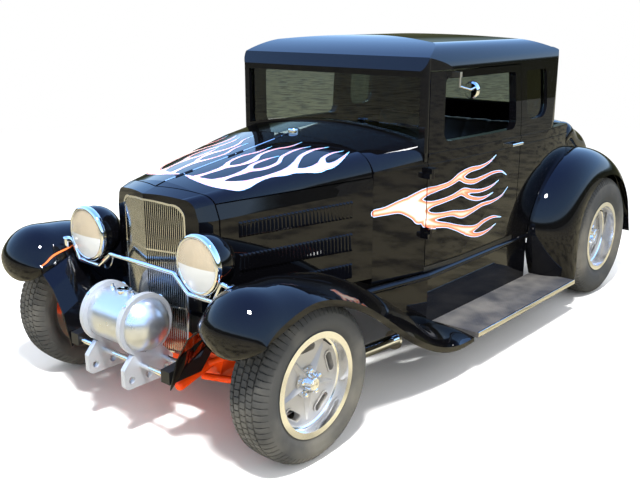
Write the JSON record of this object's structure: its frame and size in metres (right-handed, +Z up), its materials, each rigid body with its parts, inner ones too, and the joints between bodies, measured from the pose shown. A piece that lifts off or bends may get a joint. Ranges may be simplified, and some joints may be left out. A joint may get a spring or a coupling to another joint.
{
  "type": "hot rod",
  "caption": "Black early-thirties style street coupe with open fenders, V grille, louvered hood, flame stripes, drilled lamp bar and polished front tank.",
  "frame": {"origin": "on the ground under the middle of the car", "axes": "+Z up, -Y towards the nose, +X towards the car's left side"},
  "size_m": [1.706, 3.4647, 1.5479],
  "materials": {
    "body_paint": "gloss",
    "chassis_paint": "satin",
    "arm_paint": "gloss",
    "cast_steel": "satin",
    "chrome_plate": "polished",
    "polished_steel": "polished",
    "polished_aluminium": "polished",
    "cast_aluminium": "satin",
    "cast_wheel": "polished",
    "tyre_rubber": "matte",
    "step_rubber": "satin",
    "clear_glass": "gloss",
    "lamp_red": "gloss",
    "seat_leather": "satin",
    "cabin_black": "satin",
    "rim_wood": "gloss",
    "core_black": "matte"
  },
  "bodies": {
    "body": {"cab": "body_paint", "cowl": "body_paint", "cowl_cap": "chrome_plate", "dampers": "chrome_plate", "dashboard": "cabin_black", "engine_block": "cast_steel", "exhaust": "chrome_plate", "fender_front_left": "body_paint", "fender_front_right": "body_paint", "fender_rear_left": "body_paint", "fender_rear_right": "body_paint", "floor": "chassis_paint", "frame": "chassis_paint", "front_suspension": "arm_paint", "front_tank": "polished_aluminium", "grille": "polished_steel", "headlamp_lenses": "clear_glass", "headlamps": "chrome_plate", "hood_ridge": "chrome_plate", "hood_sides": "body_paint", "lamp_bar": "chrome_plate", "luggage_floor": "chassis_paint", "plate_holder": "chassis_paint", "radiator": "core_black", "radiator_shell": "body_paint", "rear_axle": "chassis_paint", "rear_deck": "body_paint", "roof": "body_paint", "running_boards": "step_rubber", "seat": "seat_leather", "splash_aprons": "body_paint", "spreader_bars": "chrome_plate", "steering_column": "cabin_black", "tail_lamps": "lamp_red", "tank_brackets": "cast_aluminium", "window_glass": "clear_glass", "windscreen_frame": "body_paint"},
    "knuckle_left": {"knuckle_left": "cast_steel"},
    "knuckle_right": {"knuckle_right": "cast_steel"},
    "wheel_front_left": {"wheel_front_left": "cast_wheel", "tyre_front_left": "tyre_rubber"},
    "wheel_front_right": {"wheel_front_right": "cast_wheel", "tyre_front_right": "tyre_rubber"},
    "wheel_rear_left": {"wheel_rear_left": "cast_wheel", "tyre_rear_left": "tyre_rubber"},
    "wheel_rear_right": {"wheel_rear_right": "cast_wheel", "tyre_rear_right": "tyre_rubber"},
    "door_left": {"door_left": "body_paint", "door_mirror": "chrome_plate", "door_handle_left": "chrome_plate"},
    "door_right": {"door_right": "body_paint", "door_handle_right": "chrome_plate"},
    "deck_lid": {"deck_lid": "body_paint"},
    "hood_top_left": {"hood_top_left": "body_paint"},
    "hood_top_right": {"hood_top_right": "body_paint"},
    "steering_wheel": {"steering_wheel": "rim_wood"}
  },
  "joints": [
    {"name": "steer_left", "type": "hinge", "parent": "body", "child": "knuckle_left", "pos_m": [0.59, -1.3145, 0.314], "axis": [0, 0, 1], "range_deg": [-25, 25]},
    {"name": "steer_right", "type": "hinge", "parent": "body", "child": "knuckle_right", "pos_m": [-0.59, -1.3145, 0.314], "axis": [0, 0, 1], "range_deg": [-25, 25]},
    {"name": "spin_front_left", "type": "hinge", "parent": "knuckle_left", "child": "wheel_front_left", "pos_m": [0.705, -1.3145, 0.314], "axis": [1, 0, 0], "continuous": true},
    {"name": "spin_front_right", "type": "hinge", "parent": "knuckle_right", "child": "wheel_front_right", "pos_m": [-0.705, -1.3145, 0.314], "axis": [1, 0, 0], "continuous": true},
    {"name": "spin_rear_left", "type": "hinge", "parent": "body", "child": "wheel_rear_left", "pos_m": [0.686, 1.3145, 0.3555], "axis": [1, 0, 0], "continuous": true},
    {"name": "spin_rear_right", "type": "hinge", "parent": "body", "child": "wheel_rear_right", "pos_m": [-0.686, 1.3145, 0.3555], "axis": [1, 0, 0], "continuous": true},
    {"name": "door_left_hinge", "type": "hinge", "parent": "body", "child": "door_left", "pos_m": [0.606, -0.303, 0.794], "axis": [0, 0, -1], "range_deg": [0, 65]},
    {"name": "door_right_hinge", "type": "hinge", "parent": "body", "child": "door_right", "pos_m": [-0.606, -0.303, 0.794], "axis": [0, 0, 1], "range_deg": [0, 65]},
    {"name": "deck_lid_hinge", "type": "hinge", "parent": "body", "child": "deck_lid", "pos_m": [0, 1.195, 1.066], "axis": [1, 0, 0], "range_deg": [0, 60]},
    {"name": "hood_left_hinge", "type": "hinge", "parent": "body", "child": "hood_top_left", "pos_m": [0, -1.356, 0.993], "axis": [0, -0.9883, -0.1528], "range_deg": [0, 65]},
    {"name": "hood_right_hinge", "type": "hinge", "parent": "body", "child": "hood_top_right", "pos_m": [0, -1.356, 0.993], "axis": [0, 0.9883, 0.1528], "range_deg": [0, 65]},
    {"name": "steering_turn", "type": "hinge", "parent": "body", "child": "steering_wheel", "pos_m": [0.3, -0.075, 0.955], "axis": [0, 0.848, 0.5299], "range_deg": [-360, 360]}
  ],
  "couplings": [
    {"joint": "steer_right", "follows": "steer_left", "ratio": 1},
    {"joint": "steering_turn", "follows": "steer_left", "ratio": 14}
  ]
}
